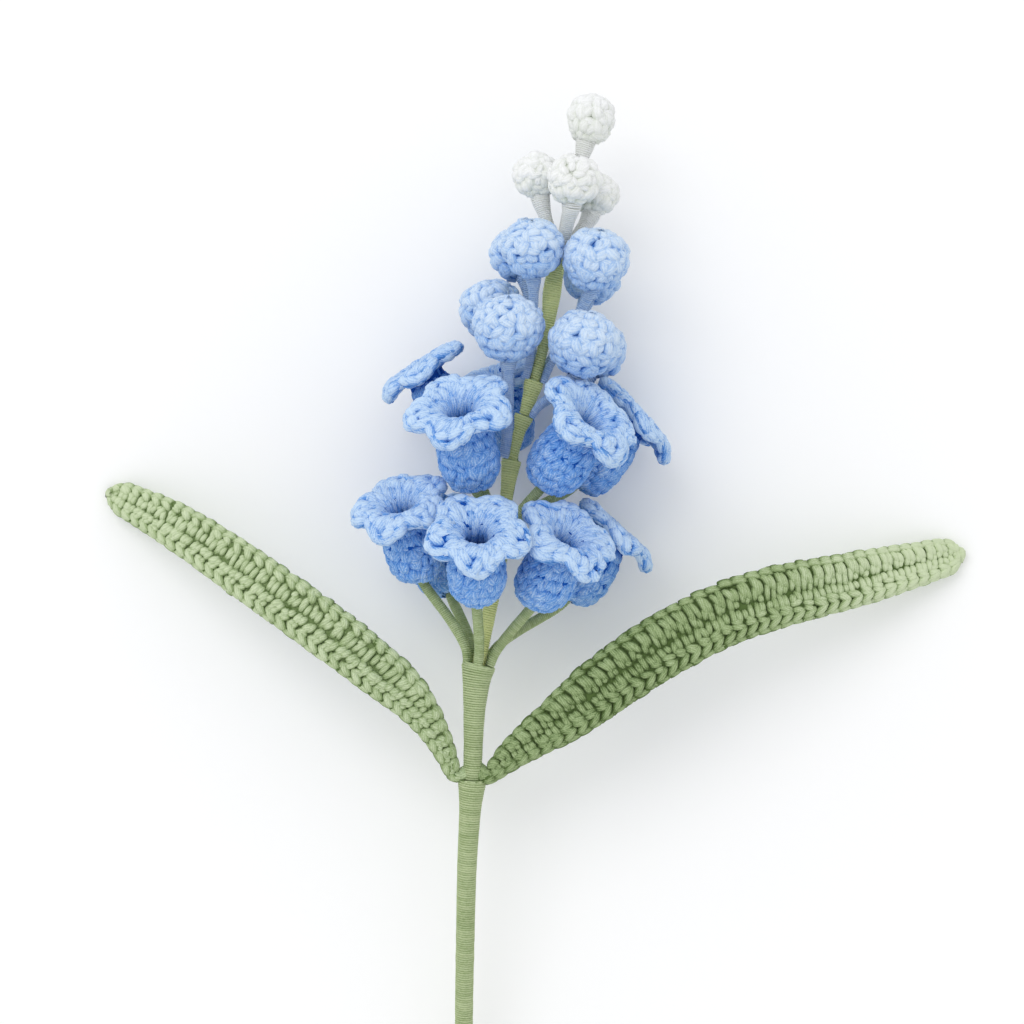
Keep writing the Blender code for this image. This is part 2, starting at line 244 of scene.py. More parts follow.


# %% [markdown]
# ## The yarn finish
#
# Spun yarn is a bundle of fine fibres with a slight twist. It is matt, and its fibres catch the light along a
# grazing edge. The colour sinks in shade where strands press together, because the light there has met more
# dyed fibre; here that shade is painted into the colour. Each strand's mesh carries three marks: how far it
# stands out of the cloth, which paints shade into its folds and ends and light on its crown; its own tone;
# and a shade for its place on the flower, which paints shade and light on the bells, buds, leaves and the
# spike's winding. The finish mixes a deep, a middle and a light colour by them. Its fibres are a bump that
# follows the strand, from a map that runs round and along it.

# %% Yarn finish
FIBRES_ROUND, TWIST, WANDER = 11.0, 0.5, 1.3
DRIFT_SCALE, FLUFF_SCALE, GRAIN_SCALE = 900.0, 3000.0, 2200.0
TONE_EFFECT, DRIFT_EFFECT, PLACE_PAINTED_SHADE_EFFECT, FIBRE_EFFECT, FLUFF_EFFECT = 0.24, 0.3, 0.9, 0.2, 0.62
DEEP_TO_MIDDLE, MIDDLE_TO_LIGHT = (0.0, 0.55), (0.42, 1.1)
LEAST_ROUGH, ROUGH_EFFECT = 0.8, 0.18
FIBRE_HEIGHT, FLUFF_HEIGHT, GRAIN_HEIGHT, BUMP_DEPTH = 0.7, 0.5, 0.5, 0.16 * MM


def yarn_finish(name, deep, middle, light):
    """A yarn's material, from the colours of its folds, its body and its crowns as 0 to 255 on screen.

    The folds' colour is painted shade and the crowns' colour is painted light, with the yarn's own tone
    between.
    """
    deep, middle, light = srgb(*deep), srgb(*middle), srgb(*light)
    finish = Finish(name, Roughness=0.85, Sheen_Weight=0.1, Sheen_Tint=light, Specular_IOR_Level=0.1)
    # Red is the painted relief shade and light, green the yarn's own tone, blue the shade for its place,
    # painted shade and light.
    marks = finish.node("ShaderNodeAttribute", {"attribute_name": "yarn_marks"})("Color")
    parts = finish.node("ShaderNodeSeparateColor", {}, {"Color": marks})
    standing, tone, place = parts("Red"), parts("Green"), parts("Blue")
    strand = finish.node("ShaderNodeUVMap", {"uv_map": "strand"})("UV")
    around_along = finish.node("ShaderNodeSeparateXYZ", {}, {"Vector": strand})
    around, along = around_along("X"), around_along("Y")
    drift = finish.noise(DRIFT_SCALE, detail=3.0)
    fibres = ((around * FIBRES_ROUND + along * TWIST + drift * WANDER) * math.tau).sine() * 0.5 + 0.5
    fluff = finish.noise(FLUFF_SCALE)
    # Painted shade and light from the relief and place marks join the yarn's own tone, drift, fibres and
    # fluff.
    lightness_with_painted_shade = standing + (tone - 0.5) * TONE_EFFECT + (drift - 0.5) * DRIFT_EFFECT
    lightness_with_painted_shade = lightness_with_painted_shade + (place - 0.5) * PLACE_PAINTED_SHADE_EFFECT + (fibres - 0.5) * FIBRE_EFFECT
    lightness_with_painted_shade = lightness_with_painted_shade + (fluff - 0.5) * FLUFF_EFFECT
    colour = finish.blend(lightness_with_painted_shade.between(*DEEP_TO_MIDDLE), deep, middle)
    colour = finish.blend(lightness_with_painted_shade.between(*MIDDLE_TO_LIGHT), colour, light)
    finish.feed("Base Color", colour)
    finish.feed("Roughness", LEAST_ROUGH + fluff * ROUGH_EFFECT)
    height = fibres * FIBRE_HEIGHT + fluff * FLUFF_HEIGHT + finish.noise(GRAIN_SCALE) * GRAIN_HEIGHT
    values = {"Strength": 0.5, "Distance": BUMP_DEPTH, "Height": height}
    finish.feed("Normal", finish.node("ShaderNodeBump", {}, values)("Normal"))
    return finish.material


# Per yarn, the colour of its folds, which is painted shade, of its body, and of its crowns, which is painted
# light.
YARN_COLOURS = {
    "bell_blue_yarn": ((18, 84, 176), (96, 153, 224), (198, 222, 248)),
    "pale_blue_yarn": ((76, 132, 206), (156, 191, 235), (212, 229, 248)),
    "white_yarn": ((220, 226, 214), (233, 236, 230), (246, 247, 248)),
    "stalk_yarn": ((84, 106, 54), (146, 167, 112), (200, 213, 168)),
    "leaf_yarn": ((90, 112, 62), (156, 176, 126), (206, 219, 182)),
}
yarns = {name: yarn_finish(name, *colours) for name, colours in YARN_COLOURS.items()}
# A lighter, yellower copy of the stalk's yarn: painted light for the winding in the spike, where the flowers
# shade it and light bounces blue off them.
spike_yarn_painted_lighter = yarn_finish("stalk_yarn_in_the_spike", (98, 114, 40), (184, 198, 112), (234, 241, 172))
print("Yarns spun:", ", ".join(yarns))

# %% [markdown]
# ## Laying strands on a cloth
#
# A cloth is any function from two numbers, across and along, to points in space. A stitch is a few short
# curves written once in those two numbers and a height above the cloth. Laying it at every place of every
# row, with a little chance in each, gives a worked fabric. All strands of a piece go into one mesh, and each
# is a closed tube that swells in its middle. Stitches painted on a smooth skin would look flat at every edge.


# %% The surface that strands lie on
class Cloth:
    """A surface given as a function of two numbers, and which of its sides faces out.

    inset says how far inside it the strands lie, in millimetres and as a function of along, so that the
    worked piece is hardly bigger than its plain solid."""

    def __init__(self, surface, facing=1.0, inset=lambda along: 0.0 * along):
        self.surface, self.facing, self.inset = surface, facing, inset

    def at(self, across, along):
        step = 0.001
        points = self.surface(across, along)
        sideways = self.surface(across + step, along) - points
        lengthways = self.surface(across, along + step) - points
        out = unit(np.cross(sideways, lengthways)) * self.facing
        return points - out * self.inset(along)[..., None] * MM, out

    def around(self, along):
        """The way round a round cloth at one place along it, in millimetres."""
        turns = np.linspace(0, 1, 41)
        points = self.surface(turns, np.full(len(turns), float(along)))
        return float(np.linalg.norm(np.diff(points, axis=0), axis=1).sum() / MM)


# %% A piece under work
PRESSED = 0.5 * MM
counts = {}


def pressed_flat(points):
    """Yarn that rests on the table is pressed flat: what would reach below it ends just above it."""
    above = (points[:, 2] - plain_low[2]) / PRESSED
    squeezed = np.exp(np.minimum(above, 1) - 1)
    points[:, 2] = plain_low[2] + PRESSED * np.where(above > 1, above, squeezed)
    return points


class Work:
    """One piece of yarn work: the faces gathered so far, with the marks that the finish reads."""

    def __init__(self, seed):
        self.chance = np.random.default_rng(seed)
        self.points, self.marks, self.faces, self.maps = [], [], [], []
        self.count = 0

    def add(self, points, marks, faces, maps):
        """Adds faces of four corners, or of three and then -1, and each corner's place on the map."""
        self.faces.append(np.where(faces >= 0, faces + self.count, -1))
        self.points.append(points.reshape(-1, 3))
        self.marks.append(marks.reshape(-1, 4))
        self.maps.append(maps)
        self.count += points.size // 3

    def finished(self, node, slot, yarn=None):
        """Makes the mesh, puts it in the place of the frame's plain node, and counts its triangles."""
        faces, maps = np.concatenate(self.faces), np.concatenate(self.maps)
        corners = np.where(faces[:, 3] < 0, 3, 4)
        used = faces.reshape(-1) >= 0
        loops = faces.reshape(-1)[used]
        points = pressed_flat(np.concatenate(self.points))
        mesh = bpy.data.meshes.new(node + "_yarn")
        mesh.vertices.add(self.count)
        mesh.vertices.foreach_set("co", points.astype(np.float32).reshape(-1))
        mesh.loops.add(len(loops))
        mesh.loops.foreach_set("vertex_index", loops.astype(np.int32))
        mesh.polygons.add(len(faces))
        mesh.polygons.foreach_set("loop_start", (np.cumsum(corners) - corners).astype(np.int32))
        mesh.update(calc_edges=True)
        marks = mesh.attributes.new("yarn_marks", "FLOAT_COLOR", "POINT")
        marks.data.foreach_set("color", np.concatenate(self.marks).astype(np.float32).reshape(-1))
        layer = mesh.uv_layers.new(name="strand")
        layer.data.foreach_set("uv", maps.reshape(-1, 2)[used].astype(np.float32).reshape(-1))
        mesh.shade_smooth()
        mesh.materials.append(yarn or yarns[slot])
        piece = bpy.data.objects.new(node + "_yarn", mesh)
        bpy.context.scene.collection.objects.link(piece)
        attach(piece, "root")
        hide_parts(node)
        counts[node] = int((corners - 2).sum())
        return piece


# %% Faces and map of closed tubes
def tube_faces(strands, stations, sides):
    """The faces of tubes, whose points run strand by strand and station by station: skins, then ends."""
    first = (np.arange(strands) * stations * sides)[:, None, None]
    station = (np.arange(stations - 1) * sides)[None, :, None]
    k = np.arange(sides)[None, None, :]
    base, after = first + station, (k + 1) % sides
    skin = np.stack([base + k, base + after, base + sides + after, base + sides + k], axis=-1)
    fan = np.arange(1, sides - 1)
    start = first[:, :, 0]
    end = start + (stations - 1) * sides
    none = np.full((strands, len(fan)), -1)
    ends = np.stack([
        np.stack([start + 0 * fan, start + fan + 1, start + fan, none], -1),
        np.stack([end + 0 * fan, end + fan, end + fan + 1, none], -1)])
    return skin.reshape(-1, 4), ends.reshape(-1, 4)


def tube_map(middles, sides):
    """Places on the map for the corners of the skins: 0 to 1 round a strand, and millimetres along it."""
    steps = np.linalg.norm(np.diff(middles, axis=1), axis=-1) / MM
    length = np.concatenate([np.zeros((len(steps), 1)), np.cumsum(steps, axis=1)], axis=1)
    left = np.arange(sides) / sides
    low, high, left = np.broadcast_arrays(length[:, :-1, None], length[:, 1:, None], left)
    right = left + 1 / sides
    corners = ((left, low), (right, low), (right, high), (left, high))
    return np.stack([np.stack(corner, -1) for corner in corners], -2).reshape(-1, 4, 2)


# %% Strands
CROWN_PAINTED_LIGHT_FALL = 1.5


def lay_tubes(work, middles, out, radii, lightness_with_painted_shade, tone, place, flat=1.0, sides=6):
    """Closed strands. middles and out are strands x stations x 3, the rest strands x stations."""
    heading = unit(np.gradient(middles, axis=1))
    side = unit(np.cross(heading, out))
    up = np.cross(side, heading)
    turns = np.arange(sides) * math.tau / sides
    offset = np.cos(turns)[:, None] * side[:, :, None] + flat * np.sin(turns)[:, None] * up[:, :, None]
    points = middles[:, :, None] + radii[:, :, None, None] * offset
    # Painted light and shade: a strand's colour is lighter on its outward crown and deeper on its underside.
    crown = (0.5 + 0.5 * np.sin(turns)) ** CROWN_PAINTED_LIGHT_FALL
    marks = np.stack(np.broadcast_arrays(
        lightness_with_painted_shade[:, :, None] * crown, tone[:, :, None], place[:, :, None], 1.0), axis=-1)
    skin, ends = tube_faces(*radii.shape, sides)
    maps = np.concatenate([tube_map(middles, sides), np.zeros((len(ends), 4, 2))])
    work.add(points, marks, np.concatenate([skin, ends]), maps)


# %% Stitches on a cloth
# Chance moves a strand by shares of its stitch, turns it, and changes its height, width and tone.
PLACE_CHANCE, TURN_CHANCE, HEIGHT_CHANCE, WIDTH_CHANCE, TONE_CHANCE = 0.05, 1.7, 0.06, 0.07, 0.2
STATIONS, BELOW_CROWN, SWELLING = 6, 0.9, 0.7
TUCKED_END, PAINTED_END_SHADE = 0.08, 0.6


def curve_weights(share):
    """How much each of a curve's four points pulls, at shares of the way along it."""
    rest = 1 - share
    return np.stack([rest**3, 3 * share * rest**2, 3 * share**2 * rest, share**3], 1)


def lay_stitches(work, cloth, across, along, width, height, curves, shade, loose=1.0):
    """Lays every curve of a stitch at every place.

    A curve is four points, a radius, how thick its ends are as a share of that, and how flat it is pressed. A
    point is a share of the stitch across and along, and the height of the strand's crown. Heights and radii
    are in millimetres."""
    parts = np.broadcast_arrays(across, along, width, height)
    across, along, width, height = (np.asarray(part, float).reshape(-1) for part in parts)
    count = len(across)
    share = np.linspace(0, 1, STATIONS)
    # Painted shade: a strand's colour deepens towards its ends, where they go down into the cloth.
    lightness_with_painted_shade = np.sin(np.pi * (TUCKED_END + (1 - 2 * TUCKED_END) * share)) ** PAINTED_END_SHADE
    for bends, radius, ends, flat in curves:
        path = curve_weights(share) @ np.array(bends, float)
        shift, turn = work.chance.normal(0, PLACE_CHANCE * loose, (2, count, 2, 1))
        moves = shift + TURN_CHANCE * turn * (2 * share - 1)
        a = across[:, None] + width[:, None] * (path[:, 0] + moves[:, 0])
        b = along[:, None] + height[:, None] * (path[:, 1] + moves[:, 1])
        points, out = cloth.at(a, b)
        lift = path[:, 2] - BELOW_CROWN * radius * flat
        lift = lift + work.chance.normal(0, HEIGHT_CHANCE * loose, (count, 1))
        swell = ends + (1 - ends) * np.sin(np.pi * share) ** SWELLING
        radii = radius * swell * (1 + work.chance.normal(0, WIDTH_CHANCE * loose, (count, 1))) * MM
        tone = np.clip(0.5 + work.chance.normal(0, TONE_CHANCE, (count, 1)), 0, 1) + 0 * a
        middles = points + out * (lift * MM)[..., None]
        lay_tubes(work, middles, out, radii, np.broadcast_to(lightness_with_painted_shade, a.shape), tone, shade(a, b), flat)


# %% The backing under the strands
def lay_skin(work, rings, place, standing, closed=False):
    """A plain skin through rings of points. It has flat ends, or joins its last ring to its first. Its low
    relief mark paints shade into it where it shows between the strands.
    """
    levels, sides = rings.shape[:2]
    marks = np.stack(np.broadcast_arrays(np.full((levels, sides), standing), 0.5, place, 1.0), axis=-1)
    level = np.arange(levels if closed else levels - 1)[:, None]
    k = np.arange(sides)[None, :]
    after, above = (k + 1) % sides, (level + 1) % levels * sides
    faces = np.stack(np.broadcast_arrays(
        level * sides + k, level * sides + after, above + after, above + k), axis=-1).reshape(-1, 4)
    if not closed:
        fan = np.arange(1, sides - 1)
        last, none = (levels - 1) * sides, np.full(sides - 2, -1)
        faces = np.concatenate([
            faces, np.stack([0 * fan, fan + 1, fan, none], -1),
            np.stack([last + 0 * fan, last + fan, last + fan + 1, none], -1)])
    work.add(rings, marks, faces, np.zeros((len(faces), 4, 2)))


# %% [markdown]
# ## Where each flower sits
#
# A flower's wire runs into its foot along its axis, so the last two rings of the wire give the foot and the
# axis. The petals hang down the stalk on one side, which gives the flower's turn.

# %% Flowers' places
STALK_UP = np.array([0.0, 1.0, 0.0])
WIRE_CORNERS = 7


def wire_of(flower):
    return flower.replace("bell", "bell_stem").replace("bud", "bud_stem")


def flower_place(flower):
    """The foot of a flower, its axes as rows (hanging side, across, up its middle), and its wire's rings."""
    rings = rings_from(wire_of(flower), middle_of(flower), WIRE_CORNERS)
    tip, foot = rings[0].mean(axis=0), rings[1].mean(axis=0)
    axis = unit(tip - foot)
    hanging = unit(-STALK_UP - (-STALK_UP @ axis) * axis)
    return foot, np.array([hanging, np.cross(axis, hanging), axis]), rings


def reach_of(flower):
    """How far a flower's solid reaches from its axis, and how high above its foot, in millimetres."""
    foot, axes, _ = places[flower]
    corners, _ = corners_and_faces(flower)
    local = (corners - foot) @ axes.T / MM
    return float(np.hypot(local[:, 0], local[:, 1]).max()), float(local[:, 2].max())


def flower_cloth(flower, shape, inset, size=1.0):
    """A cloth with a shape given in millimetres in the flower's own frame."""
    foot, axes, _ = places[flower]
    return Cloth(lambda turn, along: foot + shape(turn, along) * size @ axes * MM, inset=inset)


bells = sorted(node for node in frame["nodes"] if node.startswith("bell") and "stem" not in node)
buds = sorted(node for node in frame["nodes"] if node.startswith("bud") and "stem" not in node)
places = {flower: flower_place(flower) for flower in bells + buds}
print(len(bells), "bells and", len(buds), "buds found on their wires")

# %% [markdown]
# ## The bells
#
# A bell is worked in rounds from its foot, about fourteen stitches round where it is widest. Each stitch
# shows two legs of yarn, with a bar and a short strand behind them. The rounds under the petals are lower and
# tighter, because the cloth bends sharply there. At the throat the bell opens into five petals. Posts come up
# out of it in pairs, short puffs fill the petals like small cushions, and two chains lie along the
# rim. One cloth follows the whole of it, so that every round is laid in the same way: up the outside of the
# cup, out under the petals, over the rim, back to the throat and down inside. Outside, the strands lie a
# little below the plain solid's surface and bulge out to it.

# %% Outlines
CUP_OUTSIDE = [(1.6, 0.25), (3.2, 0.0), (6.4, 1.6), (8.2, 6.5), (7.9, 12.5), (6.3, 19.0), (6.0, 19.5)]
CUP_INSIDE = [(3.8, 20.5), (3.6, 19.0), (5.3, 12.5), (5.5, 6.0), (3.0, 3.2), (1.6, 2.9)]


def evenly(outline):
    """A smooth outline through (radius, height) points, as a function of the share of the way along it."""
    line = smooth_line(outline, np.linspace(0, 1, 160))
    way = way_along(line)
    return lambda share: [np.interp(share, way / way[-1], line[:, k]) for k in (0, 1)]


cup_outside, cup_inside = evenly(CUP_OUTSIDE), evenly(CUP_INSIDE)

# %% The cloth of a bell
PETALS, LOBE_MIDDLE, LOBE_DEPTH, LOBE_FULLNESS = 5, 0.54, 0.46, 0.4
# Petals on the hanging side leave the throat less steeply and curl more tightly.
THROAT_RADIUS, THROAT_HEIGHT, WALL = 4.9, 20.0, 2.4
NOTCH_LENGTH, PETAL_LENGTH, PETAL_PUFF, PUFFED_AT = 3.6, 8.6, 4.0, 0.8
OUTER_RISE, INNER_RISE, OUTER_CURL, INNER_CURL = math.radians(58), math.radians(74), 3.9, 5.2
JOINING, RIM_MIDDLE = 8, 2.5


def bell_shape(turn, along):
    """A bell of size 1 in its own frame, in millimetres.

    along is 0 at the foot, 1 at the throat outside, 2 to 3 round the rim, 4 at the throat inside and 5 at the
    bottom inside."""
    angle = turn * math.tau
    outward = 0.5 + 0.5 * np.cos(angle)
    lobe = (LOBE_MIDDLE + LOBE_DEPTH * np.cos(PETALS * angle)) ** LOBE_FULLNESS
    share = np.where(along < RIM_MIDDLE, np.clip(along - 1, 0, 1), np.clip(4 - along, 0, 1))
    rise = INNER_RISE + (OUTER_RISE - INNER_RISE) * outward
    curl = INNER_CURL + (OUTER_CURL - INNER_CURL) * outward
    heading = rise - (NOTCH_LENGTH + (PETAL_LENGTH - NOTCH_LENGTH) * lobe) * share / curl
    over = np.pi * np.clip(along - 2, 0, 1)
    swell = np.clip(share / PUFFED_AT, 0, 1)
    puff = WALL + (PETAL_PUFF - WALL) * swell * swell * (3 - 2 * swell)
    side, reach = -np.cos(over) * puff / 2, np.sin(over) * puff / 2
    radius = THROAT_RADIUS + curl * (np.sin(rise) - np.sin(heading))
    radius = radius - side * np.sin(heading) + reach * np.cos(heading)
    height = THROAT_HEIGHT + curl * (np.cos(heading) - np.cos(rise))
    height = height + side * np.cos(heading) + reach * np.sin(heading)
    up, down = np.clip(along, 0, 1), np.clip(along - 4, 0, 1)
    for part, outline, joined, end in (
        (along < 1, cup_outside(up), up**JOINING, CUP_OUTSIDE[-1]),
        (along > 4, cup_inside(down), (1 - down) ** JOINING, CUP_INSIDE[0]),
    ):
        radius = np.where(part, outline[0] + joined * (radius - end[0]), radius)
        height = np.where(part, outline[1] + joined * (height - end[1]), height)
    return np.stack([radius * np.cos(angle), radius * np.sin(angle), height], axis=-1)


turns = np.arange(25) / 25
rim = bell_shape(turns, np.full(len(turns), RIM_MIDDLE))
BELL_REACH = float(np.linalg.norm(rim[:, :2], axis=1).max())
print("A bell of size 1 reaches, in mm from its axis:", round(BELL_REACH, 2))


# %% Stitches
def both_ways(bends, radius, ends, flat):
    """A curve and its mirror image across the stitch."""
    return [(bends, radius, ends, flat), ([(-x, y, z) for x, y, z in bends], radius, ends, flat)]


SINGLE = [
    *both_ways(
        [(0.0, -0.2, -0.5), (-0.12, 0.12, 0.45), (-0.4, 0.5, 0.5), (-0.44, 1.02, -0.4)], 1.35, 0.6, 0.9),
    ([(-0.5, 0.95, -0.4), (-0.2, 0.86, 0.1), (0.2, 0.86, 0.1), (0.5, 0.95, -0.4)], 1.05, 0.6, 0.9),
    ([(0.04, 0.15, -0.4), (0.0, 0.4, 0.3), (-0.04, 0.7, 0.3), (0.0, 1.05, -0.3)], 1.15, 0.7, 0.9),
]
# From here on, the second number of a point is its place along the bell's cloth.
RIM_CHAIN = [
    ([(-0.75, 2.5, 0.1), (-0.25, 2.25, 0.7), (0.2, 2.1, 0.7), (0.75, 2.3, -0.1)], 1.3, 0.6, 0.95),
    ([(-0.75, 2.5, 0.1), (-0.2, 2.74, 0.8), (0.25, 2.88, 0.8), (0.75, 2.8, -0.1)], 1.4, 0.6, 0.95),
]
INNER_CHAIN = [
    ([(-0.7, 3.06, 0.2), (-0.25, 2.92, 1.0), (0.2, 2.88, 1.0), (0.62, 3.0, 0.1)], 1.5, 0.6, 0.85),
    ([(-0.7, 3.08, 0.2), (-0.25, 3.16, 1.1), (0.25, 3.26, 1.1), (0.66, 3.24, 0.1)], 1.6, 0.6, 0.85),
]
PUFFS = [
    ([(0.3, 3.2, 0.2), (0.4, 3.3, 1.0), (0.5, 3.5, 1.0), (0.52, 3.74, 0.1)], 1.5, 0.65, 0.75),
    ([(-0.2, 3.22, 0.2), (-0.1, 3.34, 0.9), (0.05, 3.5, 0.9), (0.1, 3.7, 0.1)], 1.3, 0.65, 0.75),
]
POSTS = both_ways(
    [(-0.25, 3.48, 0.4), (-0.27, 3.66, 1.0), (-0.25, 3.95, 0.8), (-0.24, 4.35, 0.7)], 1.0, 0.75, 0.85)
THROAT = [([(0.0, 4.0, 0.7), (0.1, 4.2, 0.9), (-0.1, 4.45, 0.9), (0.0, 4.85, 0.5)], 1.3, 0.75, 0.9)]
print("Strands in a single stitch:", len(SINGLE), "and in a puff stitch:", len(PUFFS))

# %% Values by their place on a cloth
# Painted shade and light along a bell's cloth: darkest in the throat and under the petals, lightest on the
# petals.
BELL_PAINTED_SHADE = {0: 0.28, 0.7: 0.25, 1.0: 0.19, 1.7: 0.34, 2.2: 0.62, 3.2: 0.62, 3.9: 0.4, 4.4: 0.16}
BELL_INSET = {3.2: 0.9, 3.8: 0.1}
BELL_SKIN_LEVELS, BELL_SKIN_TURNS = 51, 36
BELL_SKIN_DEPTH = {0: 0.35, 0.4: 0.4, 0.8: 1.2, 1.1: 1.2, 1.4: 0.8, 3.2: 0.7, 3.7: 0.9, 5: 0.9}


def read_off(table, along):
    """The value at a place along a cloth, between those that the table gives."""
    return np.interp(along, list(table), list(table.values()))


def bell_painted_shade(_, along):
    """Yarn is lit least in the throat and under the petals, and most on the petals."""
    return read_off(BELL_PAINTED_SHADE, along)


def inset_skin(cloth, alongs, turns, depth):
    """Rings of points a little below the cloth, for the skin that the strands lie on."""
    turn, along = np.meshgrid(np.arange(turns) / turns, alongs)
    points, out = cloth.at(turn, along)
    return points - out * depth * MM


# %% Working a bell
STITCH_WIDTH, CUP_ROUNDS, RIM_STITCHES, THROAT_STITCHES = 3.7, 7, 21, 13
CUP_LOOSE, PETAL_LOOSE, ROUND_DRIFT = 1.6, 1.5, 0.35
ROUNDS_AT_THE_BEND = [(0.857, 0.1, 0.6), (1.15, 0.4, 0.5), (1.5, 0.5, 1.2)]


def work_bell(name, seed):
    """Each round is where it starts along the cloth, how high it is and how loosely it is worked."""
    work = Work(seed)
    reach, _ = reach_of(name)
    cloth = flower_cloth(name, bell_shape, lambda along: read_off(BELL_INSET, along), reach / BELL_REACH)
    drift = 0.0
    cup = [(row / CUP_ROUNDS, 1 / CUP_ROUNDS, CUP_LOOSE) for row in range(CUP_ROUNDS - 1)]
    for along, height, loose in cup + ROUNDS_AT_THE_BEND:
        count = max(5, round(cloth.around(along + height / 2) / STITCH_WIDTH))
        turns = (np.arange(count) + drift) / count
        lay_stitches(work, cloth, turns, along, 1 / count, height, SINGLE, bell_painted_shade, loose)
        drift += ROUND_DRIFT
    turns = np.arange(RIM_STITCHES) / RIM_STITCHES
    for curves in (RIM_CHAIN, INNER_CHAIN, PUFFS, POSTS):
        start = work.chance.random() / RIM_STITCHES
        lay_stitches(work, cloth, turns + start, 0.0, 1 / RIM_STITCHES, 1.0, curves, bell_painted_shade, PETAL_LOOSE)
    turns = np.arange(THROAT_STITCHES) / THROAT_STITCHES
    lay_stitches(work, cloth, turns, 0.0, 1 / THROAT_STITCHES, 1.0, THROAT, bell_painted_shade)
    alongs = np.linspace(0, 5, BELL_SKIN_LEVELS)
    depth = read_off(BELL_SKIN_DEPTH, alongs)[:, None, None]
    rings = inset_skin(cloth, alongs, BELL_SKIN_TURNS, depth)
    lay_skin(work, rings, place=0.4, standing=0.43, closed=True)
    work.finished(name, "bell_blue_yarn")


for number, name in enumerate(bells):
    work_bell(name, seed=100 + number)
print("Bells worked, triangles each:", {name: counts[name] for name in bells})

# %% [markdown]
# ## The buds
#
# A bud is a small closed ball, worked like a bell's cup and stuffed before its last round is drawn shut. The
# stuffing spreads the stitches, so they are plumper and less even than a bell's.

# %% The stitches of a bud
BUD_OUTLINE = [
    (0.30, -0.02), (0.56, 0.04), (0.80, 0.18), (0.99, 0.45), (0.92, 0.72), (0.58, 0.93), (0.02, 1.01)]
PLUMP = [
    *both_ways(
        [(0.0, -0.1, -0.4), (-0.12, 0.15, 0.55), (-0.4, 0.5, 0.6), (-0.4, 0.98, -0.4)], 1.5, 0.65, 0.85),
    ([(-0.5, 0.95, -0.3), (-0.2, 0.88, 0.3), (0.2, 0.88, 0.3), (0.5, 0.95, -0.3)], 1.2, 0.65, 0.85),
]
BUD_WIDEST, BUD_INSET = 0.99, 0.3
# Painted shade: a bud's colour is darker towards its foot, on its underside, and lighter towards its tip.
BUD_PAINTED_SHADE = {0.0: 0.1, 0.25: 0.28, 0.55: 0.52, 1.0: 0.62}
PLUMP_WIDTH, PLUMP_HEIGHT, BUD_LOOSE, BUD_DRIFT = 4.5, 3.2, 2.0, 0.4
WAY_OVER, CLOSED_AT = 2.5, 0.995
BUD_SKIN_LEVELS, BUD_SKIN_TURNS, BUD_SKIN_DEPTH = 20, 24, 1.0


def bud_painted_shade(_, along):
    return read_off(BUD_PAINTED_SHADE, along)


# %% Working a bud
def work_bud(name, slot, seed):
    """The way over a bud, from its foot to its tip, is about WAY_OVER times its half width."""
    work = Work(seed)
    half_width, height = reach_of(name)
    half_width /= BUD_WIDEST
    outline = evenly([(r * half_width, z * height) for r, z in BUD_OUTLINE])

    def bud_shape(turn, along):
        radius, level = outline(along)
        angle = turn * math.tau
        return np.stack([radius * np.cos(angle), radius * np.sin(angle), level + 0 * angle], axis=-1)

    cloth = flower_cloth(name, bud_shape, lambda along: BUD_INSET + 0.0 * along)
    rounds = max(5, round(WAY_OVER * half_width / PLUMP_HEIGHT))
    drift = work.chance.random()
    for row in range(rounds):
        count = max(4, round(cloth.around((row + 0.5) / rounds) / PLUMP_WIDTH))
        turns = (np.arange(count) + drift) / count
        lay_stitches(work, cloth, turns, row / rounds, 1 / count, 1 / rounds, PLUMP, bud_painted_shade, BUD_LOOSE)
        drift += BUD_DRIFT
    alongs = np.linspace(0.0, CLOSED_AT, BUD_SKIN_LEVELS)
    lay_skin(work, inset_skin(cloth, alongs, BUD_SKIN_TURNS, BUD_SKIN_DEPTH), place=0.3, standing=0.25)
    piece = work.finished(name, slot)


for number, name in enumerate(buds):
    work_bud(name, "white_yarn" if "tip" in name else "pale_blue_yarn", seed=200 + number)
print("Buds worked, triangles each:", {name: counts[name] for name in buds})

# %% [markdown]
# ## The wound wires
#
# Each flower stands on a wire with yarn wound closely along it, and the stalk is a thicker wire wound the
# same way from below the leaves up to the last bud. A winding is one long strand in a helix, with a plain
# core below it. Separate rings would be simpler, but the thread would not run on from turn to turn.


# %% Tubes
NEARBY = 0.01


def tube_cloth(centres, radii):
    """A tube through centres, with a radius in millimetres at each, and its length in millimetres."""
    way = way_along(centres) / MM
    share = np.linspace(0, 1, len(centres))
    front = np.array([0.0, 0.0, 1.0])

    def surface(turn, along):
        place = np.interp(along, way, share)
        heading = unit(smooth_line(centres, place + NEARBY) - smooth_line(centres, place - NEARBY))
        side = unit(np.cross(heading, front))
        up = np.cross(side, heading)
        angle = turn * math.tau
        radius = np.interp(along, way, radii)
        outward = side * (np.cos(angle) * radius)[..., None] + up * (np.sin(angle) * radius)[..., None]
        return smooth_line(centres, place) + outward * MM

    return Cloth(surface, -1.0), way[-1]


# %% Windings
TURN_STATIONS, THREAD_SIDES, OVERHANG = 11, 5, 0.05
SLACK_WIDE, PATCH_WIDE = 41, 7
SLACK_LIFT, THREAD_SUNK, SLACK_TONE, PATCH_TONE = 0.12, 0.75, 0.8, 0.7
CORE_TURNS, CORE_STEP = 10, 2.5


def drifting(chance, count, wide):
    """Chance that drifts slowly along a thread: each value is the average of a few."""
    return np.convolve(chance.normal(0, 1, count + wide - 1), np.ones(wide) / wide, "valid")


